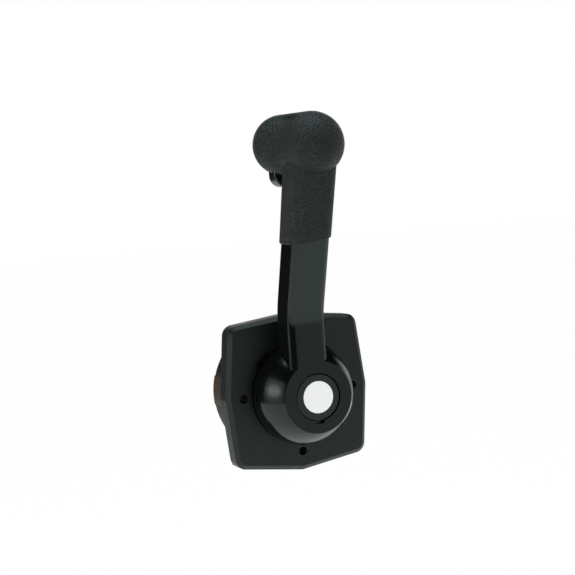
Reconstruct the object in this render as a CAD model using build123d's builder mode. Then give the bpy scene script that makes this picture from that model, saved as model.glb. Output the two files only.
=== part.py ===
from build123d import *
import math
import os

# Side-mount, single-lever marine throttle and shift control.
# Frame: +Z up, the front of the control faces -Y, the origin is on the hub
# axis where it meets the face of the boat's side panel (Y = 0).

os.makedirs("parts", exist_ok=True)

# ---------------------------------------------------------------- driving sizes
SCREW_CIRCLE = 43.0          # radius of the four panel screw holes
SCREW_HOLE_R = 3.1
PLATE_T = 14.0
GASKET_T = 2.0
PLATE_FRONT = -(PLATE_T + GASKET_T)
PLATE_BEVEL = 3.1
OPENING_R = 38.0             # round opening in the middle of the plate
LIP_R = 36.5                 # lip at the front of the opening
LIP_T = 3.0

# outline of the plate, each side bent outwards at its middle
PLATE_TOP = 57.4
PLATE_BOTTOM = 57.1
PLATE_SIDE = 55.4
PLATE_CORNER_X = 50.0
PLATE_CORNER_TOP = 51.7
PLATE_CORNER_LOW = 49.8

PANEL_GAP = 8.0              # room for the boat's side panel behind the gasket
DRUM_R = 50.0
DRUM_WALL = 4.0
DRUM_FRONT = PANEL_GAP
DRUM_INNER = DRUM_FRONT + 3.0
DRUM_BACK = 23.0
COVER_BACK = 26.0
BOSS_R = 4.9
SPIGOT_R = 37.5
SPIGOT_FRONT = -10.0
TOWER_R = 20.0
TOWER_FRONT = -17.0
GATE_FRONT = -20.0
GATE_R = 24.0

SHAFT_R = 8.0
SHAFT_FRONT = -31.0
RUN = 0.05                   # radial clearance of every running fit
SHAFT_STEP = 27.0
SHAFT_END = 38.0
STUB_R = 5.0

HUB_FACE = PLATE_FRONT - 34.0    # front face of the lever at the hub
HUB_FLAT_R = 23.4            # flat round face that the neck of the arm runs into
HUB_CORNER_R = 4.5
DOME_SKIRT = PLATE_FRONT + 3.0
CAP_R = 16.6
CAP_BORE_R = 16.9
CAP_FLOOR = -36.9
CAP_FACE = HUB_FACE + 0.7
EMBLEM_R = 11.3

ARM_X = -4.4                 # the arm stands a little forward of the hub's axis
CRANK = math.radians(18.8)   # the upper arm cranks outboard
ARM_W = 28.8
ARM_T = 24.0
ARM_EDGE_R = 5.5
BEND_Z = 56.0                # height of the bend on the front face
SLEEVE_TOP = 114.0           # along the upper arm, from the bend
ARM_TOP = 122.0
SLEEVE_W = 31.8
SLEEVE_PROUD = 1.5           # the sleeve stands proud of the arm's front face
SLEEVE_T_LOW = 26.8
SLEEVE_T_TOP = 29.6
KNOB_R = 22.2
KNOB_INNER_R = 20.8
KNOB_OUTER = (-4.2, -77.4, 175.2)    # centres of the knob's two round ends
KNOB_INNER = (-13.1, -49.0, 176.6)

MODULE = 1.25
DRIVE_TEETH = 18
SHIFT_TEETH = 24
GEAR_CENTRES = MODULE * (DRIVE_TEETH + SHIFT_TEETH) / 2
SHIFT_X = GEAR_CENTRES * math.cos(math.radians(-45))
SHIFT_Z = GEAR_CENTRES * math.sin(math.radians(-45))
GEAR_FRONT = 12.0
GEAR_T = 3.5
DETENT_FRONT = 16.5
DETENT_T = 4.0
DETENT_R = 20.0

# ---------------------------------------------------------------- planes
# front_at(y) faces -Y, with X to the right and Z up.


def front_at(y):
    return Plane(origin=(0, y, 0), x_dir=(1, 0, 0), z_dir=(0, -1, 0))


ACROSS = (1, 0, 0)
ARM_SIDE = Plane(origin=(ARM_X, 0, 0), x_dir=(0, 1, 0), z_dir=ACROSS)
ARM_AXIS = (0, -math.sin(CRANK), math.cos(CRANK))
REARWARD = (0, math.cos(CRANK), math.sin(CRANK))


def arm_line(s, behind):
    """Y and height of a point s along the upper arm, a depth behind its front face."""
    y = HUB_FACE - s * math.sin(CRANK) + behind * math.cos(CRANK)
    z = BEND_Z + s * math.cos(CRANK) + behind * math.sin(CRANK)
    return y, z


# ---------------------------------------------------------------- mounting plate
plate_points = [
    (0, PLATE_TOP),
    (PLATE_CORNER_X, PLATE_CORNER_TOP),
    (PLATE_SIDE, 0),
    (PLATE_CORNER_X + 0.6, -PLATE_CORNER_LOW),
    (0, -PLATE_BOTTOM),
    (-PLATE_CORNER_X - 0.6, -PLATE_CORNER_LOW),
    (-PLATE_SIDE, 0),
    (-PLATE_CORNER_X, PLATE_CORNER_TOP),
]


def finish(builder, label):
    """Name a finished piece and write it to its own file."""
    builder.part.label = label
    export_step(builder.part, "parts/" + label + ".step")


def polar(radius, degrees):
    """X and Z of a point on a circle about the hub axis, counted from +X towards +Z."""
    a = math.radians(degrees)
    return radius * math.cos(a), radius * math.sin(a)


PLATE_CORNER_R = 8.0

with BuildPart() as mounting_plate:
    with BuildSketch(front_at(-GASKET_T)):
        with BuildLine():
            Polyline(*plate_points, close=True)
        make_face()
    extrude(amount=PLATE_T)
    fillet(mounting_plate.edges().filter_by(Axis.Y), PLATE_CORNER_R)
    front_loop = mounting_plate.faces().sort_by(Axis.Y)[0].outer_wire().edges()
    chamfer(front_loop, PLATE_BEVEL)
    face_loop = mounting_plate.faces().sort_by(Axis.Y)[0].outer_wire().edges()
    fillet(face_loop, 1.2)
    with BuildSketch(front_at(0)):
        Circle(LIP_R)
        with PolarLocations(SCREW_CIRCLE, 4):
            Circle(SCREW_HOLE_R)
    extrude(amount=PLATE_T + 10, mode=Mode.SUBTRACT)
    with BuildSketch(front_at(0)):
        Circle(OPENING_R)
    extrude(amount=PLATE_T + GASKET_T - LIP_T, mode=Mode.SUBTRACT)
    with BuildSketch(front_at(PLATE_FRONT + LIP_T + 0.2)):
        with PolarLocations(LIP_R + 1.1, 2, start_angle=45, angular_range=180):
            Rectangle(3.6, 11.5)
    extrude(amount=10, mode=Mode.SUBTRACT)
finish(mounting_plate, "mounting_plate")

with BuildPart() as panel_gasket:
    with BuildSketch(front_at(0)):
        with BuildLine():
            Polyline(*[(x * 0.972, z * 0.972) for x, z in plate_points], close=True)
        make_face()
        Circle(OPENING_R, mode=Mode.SUBTRACT)
        with PolarLocations(SCREW_CIRCLE, 4):
            Circle(SCREW_HOLE_R, mode=Mode.SUBTRACT)
    extrude(amount=GASKET_T)
    fillet(panel_gasket.edges().filter_by(Axis.Y).group_by(SortBy.DISTANCE)[-1], PLATE_CORNER_R)
finish(panel_gasket, "panel_gasket")

# ---------------------------------------------------------------- fixed mechanism
GUARD_LOW, GUARD_HIGH = 163.8, 188.5   # window of the cable guard in the drum wall
GUARD_R = 48.0


def guard_wedge(reach):
    """Outline of the window's sector, from the hub axis out to a radius."""
    lo = math.radians(GUARD_LOW)
    hi = math.radians(GUARD_HIGH)
    return [
        (0, 0),
        (reach * math.cos(lo), reach * math.sin(lo)),
        (reach * math.cos(hi), reach * math.sin(hi)),
    ]


DETENT_AT = 157.0            # directions of the detent and of the friction screw
FRICTION_AT = 235.0
RADIAL_Y = DETENT_FRONT + DETENT_T / 2
RADIAL_BOSS_R = 4.3


def radial_plane(degrees, radius):
    """Plane square to a radius of the drum, at a radius from the hub axis."""
    x, z = polar(1, degrees)
    return Plane(origin=(radius * x, RADIAL_Y, radius * z), x_dir=(0, 1, 0), z_dir=(x, 0, z))


with BuildPart() as mechanism_housing:
    with BuildSketch(front_at(DRUM_BACK)):
        Circle(DRUM_R)
    extrude(amount=DRUM_BACK - DRUM_FRONT)
    with BuildSketch(front_at(DRUM_BACK)):
        Circle(DRUM_R - DRUM_WALL)
        with PolarLocations(SCREW_CIRCLE, 4):
            Circle(BOSS_R, mode=Mode.SUBTRACT)
        with PolarLocations(44.0, 4, start_angle=22.5):
            Circle(3.5, mode=Mode.SUBTRACT)
    extrude(amount=DRUM_BACK - DRUM_INNER, mode=Mode.SUBTRACT)
    for direction in (DETENT_AT, FRICTION_AT):
        with BuildSketch(radial_plane(direction, 24.5)):
            Circle(RADIAL_BOSS_R)
        extrude(amount=DRUM_R - DRUM_WALL - 24.5 + 1.0)
        with BuildSketch(radial_plane(direction, 24.5)):
            Circle(3.05)
        extrude(amount=30, mode=Mode.SUBTRACT)
    with BuildSketch(front_at(DRUM_BACK + 1)):
        Circle(12.0)
        with PolarLocations(SCREW_CIRCLE, 4):
            Circle(4.0)
    extrude(amount=DRUM_BACK - DRUM_FRONT + 2, mode=Mode.SUBTRACT)
    with BuildSketch(front_at(DRUM_BACK + 1)):
        with PolarLocations(44.0, 4, start_angle=22.5):
            Circle(1.5)
    extrude(amount=DRUM_BACK - DRUM_INNER + 1, mode=Mode.SUBTRACT)
    with BuildSketch(front_at(DRUM_FRONT)):
        with PolarLocations(27.0, 3, start_angle=90):
            Circle(1.7)
    extrude(amount=-4, mode=Mode.SUBTRACT)
    with BuildSketch(front_at(DRUM_INNER)):
        with Locations((SHIFT_X, SHIFT_Z)):
            Circle(STUB_R + RUN)
    extrude(amount=2.4, mode=Mode.SUBTRACT)
    with BuildSketch(front_at(DRUM_BACK + 1)):
        with BuildLine():
            Polyline(*guard_wedge(60), close=True)
        make_face()
        Circle(GUARD_R, mode=Mode.SUBTRACT)
    extrude(amount=DRUM_BACK - DRUM_FRONT, mode=Mode.SUBTRACT)
finish(mechanism_housing, "mechanism_housing")

with BuildPart() as cable_guard:
    with BuildSketch(front_at(COVER_BACK)):
        Circle(DRUM_R + 0.2)
        Circle(GUARD_R, mode=Mode.SUBTRACT)
        with BuildLine():
            Polyline(*guard_wedge(60), close=True)
        make_face(mode=Mode.INTERSECT)
    extrude(amount=COVER_BACK - DRUM_FRONT - 1)
finish(cable_guard, "cable_guard")

with BuildPart() as rear_cover:
    with BuildSketch(front_at(COVER_BACK)):
        Circle(DRUM_R)
        Circle(10.0, mode=Mode.SUBTRACT)
        with Locations((SHIFT_X, SHIFT_Z)):
            Circle(7.5, mode=Mode.SUBTRACT)
        with PolarLocations(SCREW_CIRCLE, 4):
            Circle(3.6, mode=Mode.SUBTRACT)
        with PolarLocations(44.0, 4, start_angle=22.5):
            Circle(1.7, mode=Mode.SUBTRACT)
    extrude(amount=COVER_BACK - DRUM_BACK)
    with BuildSketch(front_at(COVER_BACK)):
        with BuildLine():
            Polyline(*guard_wedge(60), close=True)
        make_face()
        Circle(GUARD_R, mode=Mode.SUBTRACT)
    extrude(amount=5, mode=Mode.SUBTRACT)
    chamfer(rear_cover.faces().sort_by(Axis.Y)[-1].outer_wire().edges().filter_by(GeomType.CIRCLE), 0.8)
finish(rear_cover, "rear_cover")

with BuildPart() as rear_cover_screws:
    with BuildSketch(front_at(COVER_BACK)):
        with PolarLocations(44.0, 4, start_angle=22.5):
            Circle(1.5)
    extrude(amount=10)
    with BuildSketch(front_at(COVER_BACK)):
        with PolarLocations(44.0, 4, start_angle=22.5):
            Circle(2.8)
    extrude(amount=-1.7)
    with BuildSketch(front_at(COVER_BACK + 1.7)):
        with PolarLocations(44.0, 4, start_angle=22.5):
            RegularPolygon(1.45, 6)
    extrude(amount=1.1, mode=Mode.SUBTRACT)
finish(rear_cover_screws, "rear_cover_screws")

with BuildPart() as threaded_inserts:
    with BuildSketch(front_at(DRUM_FRONT + 13)):
        with PolarLocations(SCREW_CIRCLE, 4):
            Circle(4.0)
            Circle(2.9, mode=Mode.SUBTRACT)
    extrude(amount=13)
finish(threaded_inserts, "threaded_inserts")

with BuildPart() as panel_spigot:
    with BuildSketch(front_at(DRUM_FRONT)):
        Circle(SPIGOT_R)
        Circle(10.0, mode=Mode.SUBTRACT)
    extrude(amount=4)
    with BuildSketch(front_at(DRUM_FRONT - 4)):
        Circle(SPIGOT_R)
        Circle(SPIGOT_R - 3.5, mode=Mode.SUBTRACT)
    extrude(amount=DRUM_FRONT - 4 - SPIGOT_FRONT)
    with BuildSketch(front_at(DRUM_FRONT - 4)):
        Circle(TOWER_R)
        Circle(10.0, mode=Mode.SUBTRACT)
    extrude(amount=DRUM_FRONT - 4 - TOWER_FRONT)
    with BuildSketch(front_at(DRUM_FRONT + 1)):
        with PolarLocations(27.0, 3, start_angle=90):
            Circle(1.7)
    extrude(amount=8, mode=Mode.SUBTRACT)
    with BuildSketch(front_at(TOWER_FRONT)):
        with PolarLocations(15.0, 3, start_angle=30):
            Circle(1.25)
    extrude(amount=-8, mode=Mode.SUBTRACT)
finish(panel_spigot, "panel_spigot")

with BuildPart() as spigot_screws:
    with BuildSketch(front_at(DRUM_INNER)):
        with PolarLocations(27.0, 3, start_angle=90):
            Circle(1.7)
    extrude(amount=DRUM_INNER - DRUM_FRONT + 4)
    with BuildSketch(front_at(DRUM_FRONT - 4)):
        with PolarLocations(27.0, 3, start_angle=90):
            Circle(3.0)
    extrude(amount=2.4)
    with BuildSketch(front_at(DRUM_FRONT - 6.4)):
        with PolarLocations(27.0, 3, start_angle=90):
            RegularPolygon(1.5, 6)
    extrude(amount=-1.4, mode=Mode.SUBTRACT)
finish(spigot_screws, "spigot_screws")

with BuildPart() as lock_gate:
    with BuildSketch(front_at(TOWER_FRONT)):
        Circle(GATE_R)
        Circle(10.4, mode=Mode.SUBTRACT)
        with Locations((0, GATE_R)):
            Rectangle(8.0, 9.0, mode=Mode.SUBTRACT)
        with PolarLocations(15.0, 3, start_angle=30):
            Circle(1.5, mode=Mode.SUBTRACT)
    extrude(amount=TOWER_FRONT - GATE_FRONT)
    screw_spots = (polar(15, 30), polar(15, 150), polar(15, 270))
    screw_planes = [Plane(origin=(x, GATE_FRONT, z), z_dir=(0, -1, 0)) for x, z in screw_spots]
    with Locations(*screw_planes):
        Cylinder(2.9, 1.6, align=(Align.CENTER, Align.CENTER, Align.MAX), mode=Mode.SUBTRACT)
finish(lock_gate, "lock_gate")

with BuildPart() as gate_screws:
    with BuildSketch(front_at(GATE_FRONT + 1.6)):
        with PolarLocations(15.0, 3, start_angle=30):
            Circle(2.8)
    extrude(amount=1.5)
    with BuildSketch(front_at(GATE_FRONT + 1.6)):
        with PolarLocations(15.0, 3, start_angle=30):
            Circle(1.25)
    extrude(amount=-8)
    with BuildSketch(front_at(GATE_FRONT + 0.1)):
        with PolarLocations(15.0, 3, start_angle=30):
            RegularPolygon(1.3, 6)
    extrude(amount=-0.9, mode=Mode.SUBTRACT)
finish(gate_screws, "gate_screws")

with BuildPart() as front_bush:
    with BuildSketch(front_at(-1)):
        Circle(10.0)
        Circle(SHAFT_R + RUN, mode=Mode.SUBTRACT)
    extrude(amount=15.5)
finish(front_bush, "front_bush")

with BuildPart() as rear_bush:
    with BuildSketch(front_at(COVER_BACK)):
        Circle(10.0)
        Circle(SHAFT_R + RUN, mode=Mode.SUBTRACT)
    extrude(amount=4.2)
finish(rear_bush, "rear_bush")

with BuildPart() as shaft_seal:
    with BuildSketch(front_at(DRUM_INNER)):
        Circle(12.0)
        Circle(SHAFT_R + 0.1, mode=Mode.SUBTRACT)
    extrude(amount=2.8)
finish(shaft_seal, "shaft_seal")

with BuildPart() as shift_bush:
    with BuildSketch(front_at(COVER_BACK + 0.6)):
        with Locations((SHIFT_X, SHIFT_Z)):
            Circle(7.5)
            Circle(STUB_R + RUN, mode=Mode.SUBTRACT)
    extrude(amount=4.0)
finish(shift_bush, "shift_bush")

with BuildPart() as detent_ball:
    ball_x, ball_z = polar(DETENT_R + 3.15, DETENT_AT)
    with Locations((ball_x, RADIAL_Y, ball_z)):
        Sphere(3.0)
finish(detent_ball, "detent_ball")

with BuildPart() as detent_spring:
    spring_plane = radial_plane(DETENT_AT, DETENT_R + 6.6)
    with BuildLine() as detent_coil:
        Helix(pitch=2.2, height=13.0, radius=2.1, center=spring_plane.origin, direction=spring_plane.z_dir)
    with BuildSketch(Plane(origin=detent_coil.line @ 0, z_dir=detent_coil.line % 0)):
        Circle(0.4)
    sweep()
finish(detent_spring, "detent_spring")

with BuildPart() as detent_plug:
    with BuildSketch(radial_plane(DETENT_AT, 40.6)):
        Circle(3.05)
    extrude(amount=49.4 - 40.6)
    with BuildSketch(radial_plane(DETENT_AT, 49.4)):
        Rectangle(0.9, 5.0)
    extrude(amount=-1.2, mode=Mode.SUBTRACT)
finish(detent_plug, "detent_plug")

with BuildPart() as friction_pad:
    with BuildSketch(radial_plane(FRICTION_AT, DETENT_R + 0.5)):
        Circle(3.0)
    extrude(amount=6)
finish(friction_pad, "friction_pad")

with BuildPart() as friction_screw:
    with BuildSketch(radial_plane(FRICTION_AT, DETENT_R + 6.5)):
        Circle(3.05)
    extrude(amount=49.4 - DETENT_R - 6.5)
    with BuildSketch(radial_plane(FRICTION_AT, 49.4)):
        RegularPolygon(1.6, 6)
    extrude(amount=-3, mode=Mode.SUBTRACT)
finish(friction_screw, "friction_screw")

# microswitch that lets the engine crank only in neutral
SWITCH_AT = 67.5
switch_angle = math.radians(SWITCH_AT)
SWITCH_PLANE = Plane(
    origin=(0, DRUM_INNER, 0), x_dir=(math.cos(switch_angle), 0, math.sin(switch_angle)), z_dir=(0, 1, 0)
)

with BuildPart() as neutral_switch:
    with BuildSketch(SWITCH_PLANE):
        with Locations((31.0, 0)):
            Rectangle(10.0, 20.0)
        with Locations((33.0, 7.0), (33.0, -7.0)):
            Circle(1.2, mode=Mode.SUBTRACT)
    extrude(amount=7.0)
    with BuildSketch(SWITCH_PLANE.offset(5.6)):
        with Locations((23.6, 3.0)):
            Rectangle(5.2, 2.6)
    extrude(amount=1.2)
finish(neutral_switch, "neutral_switch")

with BuildPart() as switch_screws:
    with BuildSketch(SWITCH_PLANE.offset(0.1)):
        with Locations((33.0, 7.0), (33.0, -7.0)):
            Circle(1.2)
    extrude(amount=6.9)
    with BuildSketch(SWITCH_PLANE.offset(7.0)):
        with Locations((33.0, 7.0), (33.0, -7.0)):
            Circle(2.2)
    extrude(amount=1.4)
finish(switch_screws, "switch_screws")

# ---------------------------------------------------------------- shafts and gears


def gear_points(teeth, turn, thin):
    """Closed outline of a spur gear with straight-flanked teeth, thinned for clearance."""
    pitch_r = MODULE * teeth / 2
    flank = ((pitch_r - 1.3 * MODULE, 0.36), (pitch_r - 0.2 * MODULE, 0.25), (pitch_r + 0.85 * MODULE, 0.12))
    rows = []
    for n in range(teeth):
        middle = turn + 360.0 * n / teeth
        for radius, share in flank:
            half = 360.0 / teeth * share * thin
            rows.append((middle - half, radius))
        for radius, share in reversed(flank):
            half = 360.0 / teeth * share * thin
            rows.append((middle + half, radius))
    return [polar(radius, degrees) for degrees, radius in rows]


KEY_Y = -26.0

with BuildPart() as main_shaft:
    with BuildSketch(front_at(SHAFT_STEP)):
        Circle(SHAFT_R)
    extrude(amount=SHAFT_STEP - SHAFT_FRONT)
    with BuildSketch(front_at(SHAFT_END)):
        Circle(6.0)
    extrude(amount=SHAFT_END - SHAFT_STEP)
    chamfer(main_shaft.edges().filter_by(GeomType.CIRCLE).sort_by(Axis.Y)[-1], 0.8)
    with BuildSketch(front_at(SHAFT_FRONT - 1)):
        Circle(3.0)
    extrude(amount=-16, mode=Mode.SUBTRACT)
    with Locations((0, KEY_Y, SHAFT_R)):
        Box(4, 7, 4.4, mode=Mode.SUBTRACT)
finish(main_shaft, "main_shaft")

with BuildPart() as shaft_key:
    with Locations((0, KEY_Y, SHAFT_R)):
        Box(4, 7, 4.4)
finish(shaft_key, "shaft_key")

with BuildPart() as drive_gear:
    with BuildSketch(front_at(GEAR_FRONT + GEAR_T)):
        with BuildLine():
            Polyline(*gear_points(DRIVE_TEETH, -45, 0.90), close=True)
        make_face()
        Circle(SHAFT_R, mode=Mode.SUBTRACT)
    extrude(amount=GEAR_T)
finish(drive_gear, "drive_gear")

with BuildPart() as detent_wheel:
    with BuildSketch(front_at(DETENT_FRONT + DETENT_T)):
        Circle(DETENT_R)
        Circle(SHAFT_R, mode=Mode.SUBTRACT)
        for swing in (-24, 0, 24):
            with Locations(polar(DETENT_R + 2.2, DETENT_AT + swing)):
                Circle(3.0, mode=Mode.SUBTRACT)
        with PolarLocations(14.0, 6):
            Circle(2.2, mode=Mode.SUBTRACT)
    extrude(amount=DETENT_T)
finish(detent_wheel, "detent_wheel")

ARM_PLATE = 3.0
THROTTLE_Y = 28.0
THROTTLE_REACH = 32.0

with BuildPart() as throttle_arm:
    with BuildSketch(front_at(THROTTLE_Y + ARM_PLATE)):
        Circle(10.0)
        with Locations((0, THROTTLE_REACH)):
            Circle(6.0)
        make_hull()
        Circle(6.0, mode=Mode.SUBTRACT)
        with Locations((0, THROTTLE_REACH)):
            Circle(2.6, mode=Mode.SUBTRACT)
        with Locations((0, THROTTLE_REACH - 10)):
            Circle(2.6, mode=Mode.SUBTRACT)
    extrude(amount=ARM_PLATE)
finish(throttle_arm, "throttle_arm")

with BuildPart() as throttle_arm_nut:
    with BuildSketch(front_at(THROTTLE_Y + ARM_PLATE + 4.5)):
        RegularPolygon(9.5, 6)
        Circle(6.0, mode=Mode.SUBTRACT)
    extrude(amount=4.5)
finish(throttle_arm_nut, "throttle_arm_nut")

with BuildPart() as shift_shaft:
    with BuildSketch(front_at(DRUM_INNER - 2.0)):
        with Locations((SHIFT_X, SHIFT_Z)):
            Circle(STUB_R)
    extrude(amount=-(THROTTLE_Y + ARM_PLATE + 6 - DRUM_INNER + 2.0))
finish(shift_shaft, "shift_shaft")

with BuildPart() as shift_gear:
    with BuildSketch(front_at(GEAR_FRONT + GEAR_T)):
        with BuildLine():
            teeth = gear_points(SHIFT_TEETH, 135 + 180 / SHIFT_TEETH, 0.90)
            Polyline(*[(x + SHIFT_X, z + SHIFT_Z) for x, z in teeth], close=True)
        make_face()
        with Locations((SHIFT_X, SHIFT_Z)):
            Circle(STUB_R, mode=Mode.SUBTRACT)
    extrude(amount=GEAR_T)
finish(shift_gear, "shift_gear")

SHIFT_REACH = 24.0

with BuildPart() as shift_arm:
    with BuildSketch(front_at(THROTTLE_Y + ARM_PLATE)):
        with Locations((SHIFT_X, SHIFT_Z)):
            Circle(8.5)
        with Locations((SHIFT_X, SHIFT_Z - SHIFT_REACH)):
            Circle(5.5)
        make_hull()
        with Locations((SHIFT_X, SHIFT_Z)):
            Circle(STUB_R, mode=Mode.SUBTRACT)
        with Locations((SHIFT_X, SHIFT_Z - SHIFT_REACH)):
            Circle(2.6, mode=Mode.SUBTRACT)
    extrude(amount=ARM_PLATE)
finish(shift_arm, "shift_arm")

with BuildPart() as shift_arm_nut:
    with BuildSketch(front_at(THROTTLE_Y + ARM_PLATE + 4.0)):
        with Locations((SHIFT_X, SHIFT_Z)):
            RegularPolygon(8.0, 6)
            Circle(STUB_R, mode=Mode.SUBTRACT)
    extrude(amount=4.0)
finish(shift_arm_nut, "shift_arm_nut")

# ---------------------------------------------------------------- control lever
DOME_R = 35.8                # at the plate
DOME_CORNER = 25.6           # where the dome's flank would meet the front face
KEYHOLE_TOP = 46.0
ARM_START = 27.0
NECK_R = 6.0
ELBOW_R = 60.0
elbow_y = HUB_FACE + ARM_T / 2
elbow_z = BEND_Z + ARM_T / 2 * math.tan(CRANK / 2)
top_y = elbow_y - ARM_TOP * math.sin(CRANK)
top_z = elbow_z + ARM_TOP * math.cos(CRANK)

HUB_COLUMN_R = 13.0
HUB_COLUMN_BACK = -21.0
CAVITY_R = 32.0
CAVITY_FRONT = -35.2

PIN_Y = -32.2
PIN_R = 2.5
PIN_LOW = GATE_R + 0.4
PIN_FOOT = 3.0
PIN_TOP = 58.0
CHANNEL_R = 2.8
SPRING_ROOM_R = 4.4
ROOM_TOP = 50.0
LINK_LOW = 52.0
LINK_TOP = 62.8
ROD_BEHIND = 8.5
ROD_R = 2.2
TRIGGER_X = -11.2
TRIGGER_W = 19.4
TRIGGER_LOW = 148.0
TRIGGER_TOP = 167.0
TRIGGER_FRONT = -50.0
TRIGGER_BACK = -39.5
TRIGGER_TRAVEL = 4.3
TONGUE_LOW = 99.5            # along the upper arm
TONGUE_T = 5.0
TONGUE_W = 10.0
TONGUE_AT = 21.0             # middle of the tongue behind the arm's front face
TONGUE_LONG = 29.0
SLOT_HALF = 5.5


def up_arm(z, y=0.0, x=0.0):
    """Level plane at a height of the lower arm, facing up; its Y runs to the rear."""
    return Plane(origin=(x, y, z), x_dir=ACROSS, z_dir=(0, 0, 1))


def upper_arm(s, behind=0.0):
    """Plane square to the upper arm, facing its top; its X runs across, its Y to the rear."""
    y, z = arm_line(s, behind)
    return Plane(origin=(ARM_X, y, z), x_dir=ACROSS, z_dir=ARM_AXIS)


PIN_PLANE = Plane(origin=(ARM_X + 9.5, *arm_line(116.0, 5.0)), z_dir=REARWARD)
SLEEVE_EDGE = Plane(origin=(ARM_X, *arm_line(53.2, ARM_T / 2)), z_dir=(-0.115, -0.058, 1))


with BuildPart() as hub_keyhole:
    with BuildSketch(front_at(HUB_FACE)) as keyhole:
        Circle(HUB_FLAT_R)
        with Locations((ARM_X, KEYHOLE_TOP / 2)):
            Rectangle(ARM_W, KEYHOLE_TOP)
        neck = keyhole.vertices().filter_by(lambda v: 10 < v.Z < 40)
        fillet(neck, NECK_R)
    extrude(amount=-14)
    fillet(hub_keyhole.faces().sort_by(Axis.Y)[0].outer_wire().edges(), ARM_EDGE_R)

with BuildPart() as control_lever:
    with BuildSketch(Plane.YZ):
        with BuildLine():
            Polyline(
                (HUB_FACE, DOME_CORNER), (HUB_FACE, 0), (DOME_SKIRT, 0), (DOME_SKIRT, DOME_R), (PLATE_FRONT, DOME_R)
            )
            bulge = ThreePointArc(
                (PLATE_FRONT, DOME_R), (PLATE_FRONT - 8.0, DOME_R + 1.0), (PLATE_FRONT - 18.0, DOME_R - 1.0)
            )
            TangentArc((PLATE_FRONT - 18.0, DOME_R - 1.0), (HUB_FACE, DOME_CORNER), tangent=bulge % 1)
        make_face()
        fillet(vertices().sort_by_distance((0, HUB_FACE, DOME_CORNER))[0], HUB_CORNER_R)
    revolve(axis=Axis.Y)
    with BuildLine(ARM_SIDE):
        FilletPolyline((elbow_y, ARM_START), (elbow_y, elbow_z), (top_y, top_z), radius=ELBOW_R)
    with BuildSketch(up_arm(ARM_START, elbow_y, ARM_X)):
        RectangleRounded(ARM_W, ARM_T, ARM_EDGE_R)
    sweep()
    add(hub_keyhole.part)
    # hollow behind the dome, with the hub column left standing in it
    with BuildSketch(front_at(CAVITY_FRONT)):
        Circle(CAVITY_R)
        Circle(HUB_COLUMN_R, mode=Mode.SUBTRACT)
    extrude(amount=-25, mode=Mode.SUBTRACT)
    with BuildSketch(front_at(HUB_COLUMN_BACK)):
        Circle(HUB_COLUMN_R + 1)
    extrude(amount=-25, mode=Mode.SUBTRACT)
    with BuildSketch(front_at(SHAFT_FRONT)):
        Circle(SHAFT_R)
    extrude(amount=-12, mode=Mode.SUBTRACT)
    with Locations((0, KEY_Y, SHAFT_R)):
        Box(4, 7, 4.4, mode=Mode.SUBTRACT)
    with BuildSketch(front_at(CAP_FLOOR)):
        Circle(3.3)
    extrude(amount=-8, mode=Mode.SUBTRACT)
    with BuildSketch(front_at(HUB_FACE - 2)):
        Circle(CAP_BORE_R)
    extrude(amount=HUB_FACE - 2 - CAP_FLOOR, mode=Mode.SUBTRACT)
    with BuildSketch(front_at(HUB_FACE - 2)):
        with Locations((0, -CAP_BORE_R)):
            Rectangle(6.6, 3.6)
    extrude(amount=-5.5, mode=Mode.SUBTRACT)
    # room for the lock pin, its spring and the link to the trigger rod
    with BuildSketch(up_arm(28.0, PIN_Y)):
        Circle(SPRING_ROOM_R)
    extrude(amount=ROOM_TOP - 28.0, mode=Mode.SUBTRACT)
    with BuildSketch(up_arm(ROOM_TOP - 1, PIN_Y)):
        Circle(CHANNEL_R)
    extrude(amount=5, mode=Mode.SUBTRACT)
    with BuildSketch(up_arm(LINK_LOW, PIN_Y - 3.75, ARM_X / 2)):
        Rectangle(15.2, 15.9)
    extrude(amount=LINK_TOP - LINK_LOW, mode=Mode.SUBTRACT)
    # channel for the trigger rod, open to the rear
    with BuildSketch(upper_arm(4.0, 15.5)):
        Rectangle(2 * SLOT_HALF, 19.0)
    extrude(amount=108.5, mode=Mode.SUBTRACT)
    with BuildSketch(upper_arm(-6.0, ROD_BEHIND)):
        Circle(CHANNEL_R)
    extrude(amount=20, mode=Mode.SUBTRACT)
    with BuildSketch(upper_arm(6.0, ARM_T)):
        Rectangle(17.0, 5.0)
    extrude(amount=47.5, mode=Mode.SUBTRACT)
    with Locations(PIN_PLANE):
        Cylinder(1.5, 30, align=(Align.CENTER, Align.CENTER, Align.MIN), mode=Mode.SUBTRACT)
finish(control_lever, "control_lever")


with BuildPart() as lever_back_cover:
    with BuildSketch(upper_arm(6.2, ARM_T - 1.25)):
        Rectangle(16.8, 2.5)
    extrude(amount=47.0)
    with BuildSketch(upper_arm(6.2, ARM_T - 3.4)):
        Rectangle(10.8, 2.0)
    extrude(amount=47.0)
finish(lever_back_cover, "lever_back_cover")

with BuildPart() as grip_sleeve:
    with BuildSketch(upper_arm(38.0, SLEEVE_T_LOW / 2 - SLEEVE_PROUD)):
        RectangleRounded(SLEEVE_W, SLEEVE_T_LOW, 7.5)
    with BuildSketch(upper_arm(SLEEVE_TOP, SLEEVE_T_TOP / 2 - SLEEVE_PROUD)):
        RectangleRounded(SLEEVE_W, SLEEVE_T_TOP, 7.5)
    loft()
    split(bisect_by=SLEEVE_EDGE, keep=Keep.TOP)
    fillet(grip_sleeve.faces().sort_by(Axis.Z)[0].outer_wire().edges(), 1.2)
    with BuildSketch(upper_arm(36.0, ARM_T / 2)):
        RectangleRounded(ARM_W, ARM_T, ARM_EDGE_R)
    extrude(amount=SLEEVE_TOP - 34.0, mode=Mode.SUBTRACT)
    with BuildSketch(upper_arm(TONGUE_LOW - 0.6, ARM_T)):
        Rectangle(TONGUE_W + 0.8, 8.0)
    extrude(amount=SLEEVE_TOP - TONGUE_LOW + 2, mode=Mode.SUBTRACT)
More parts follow.
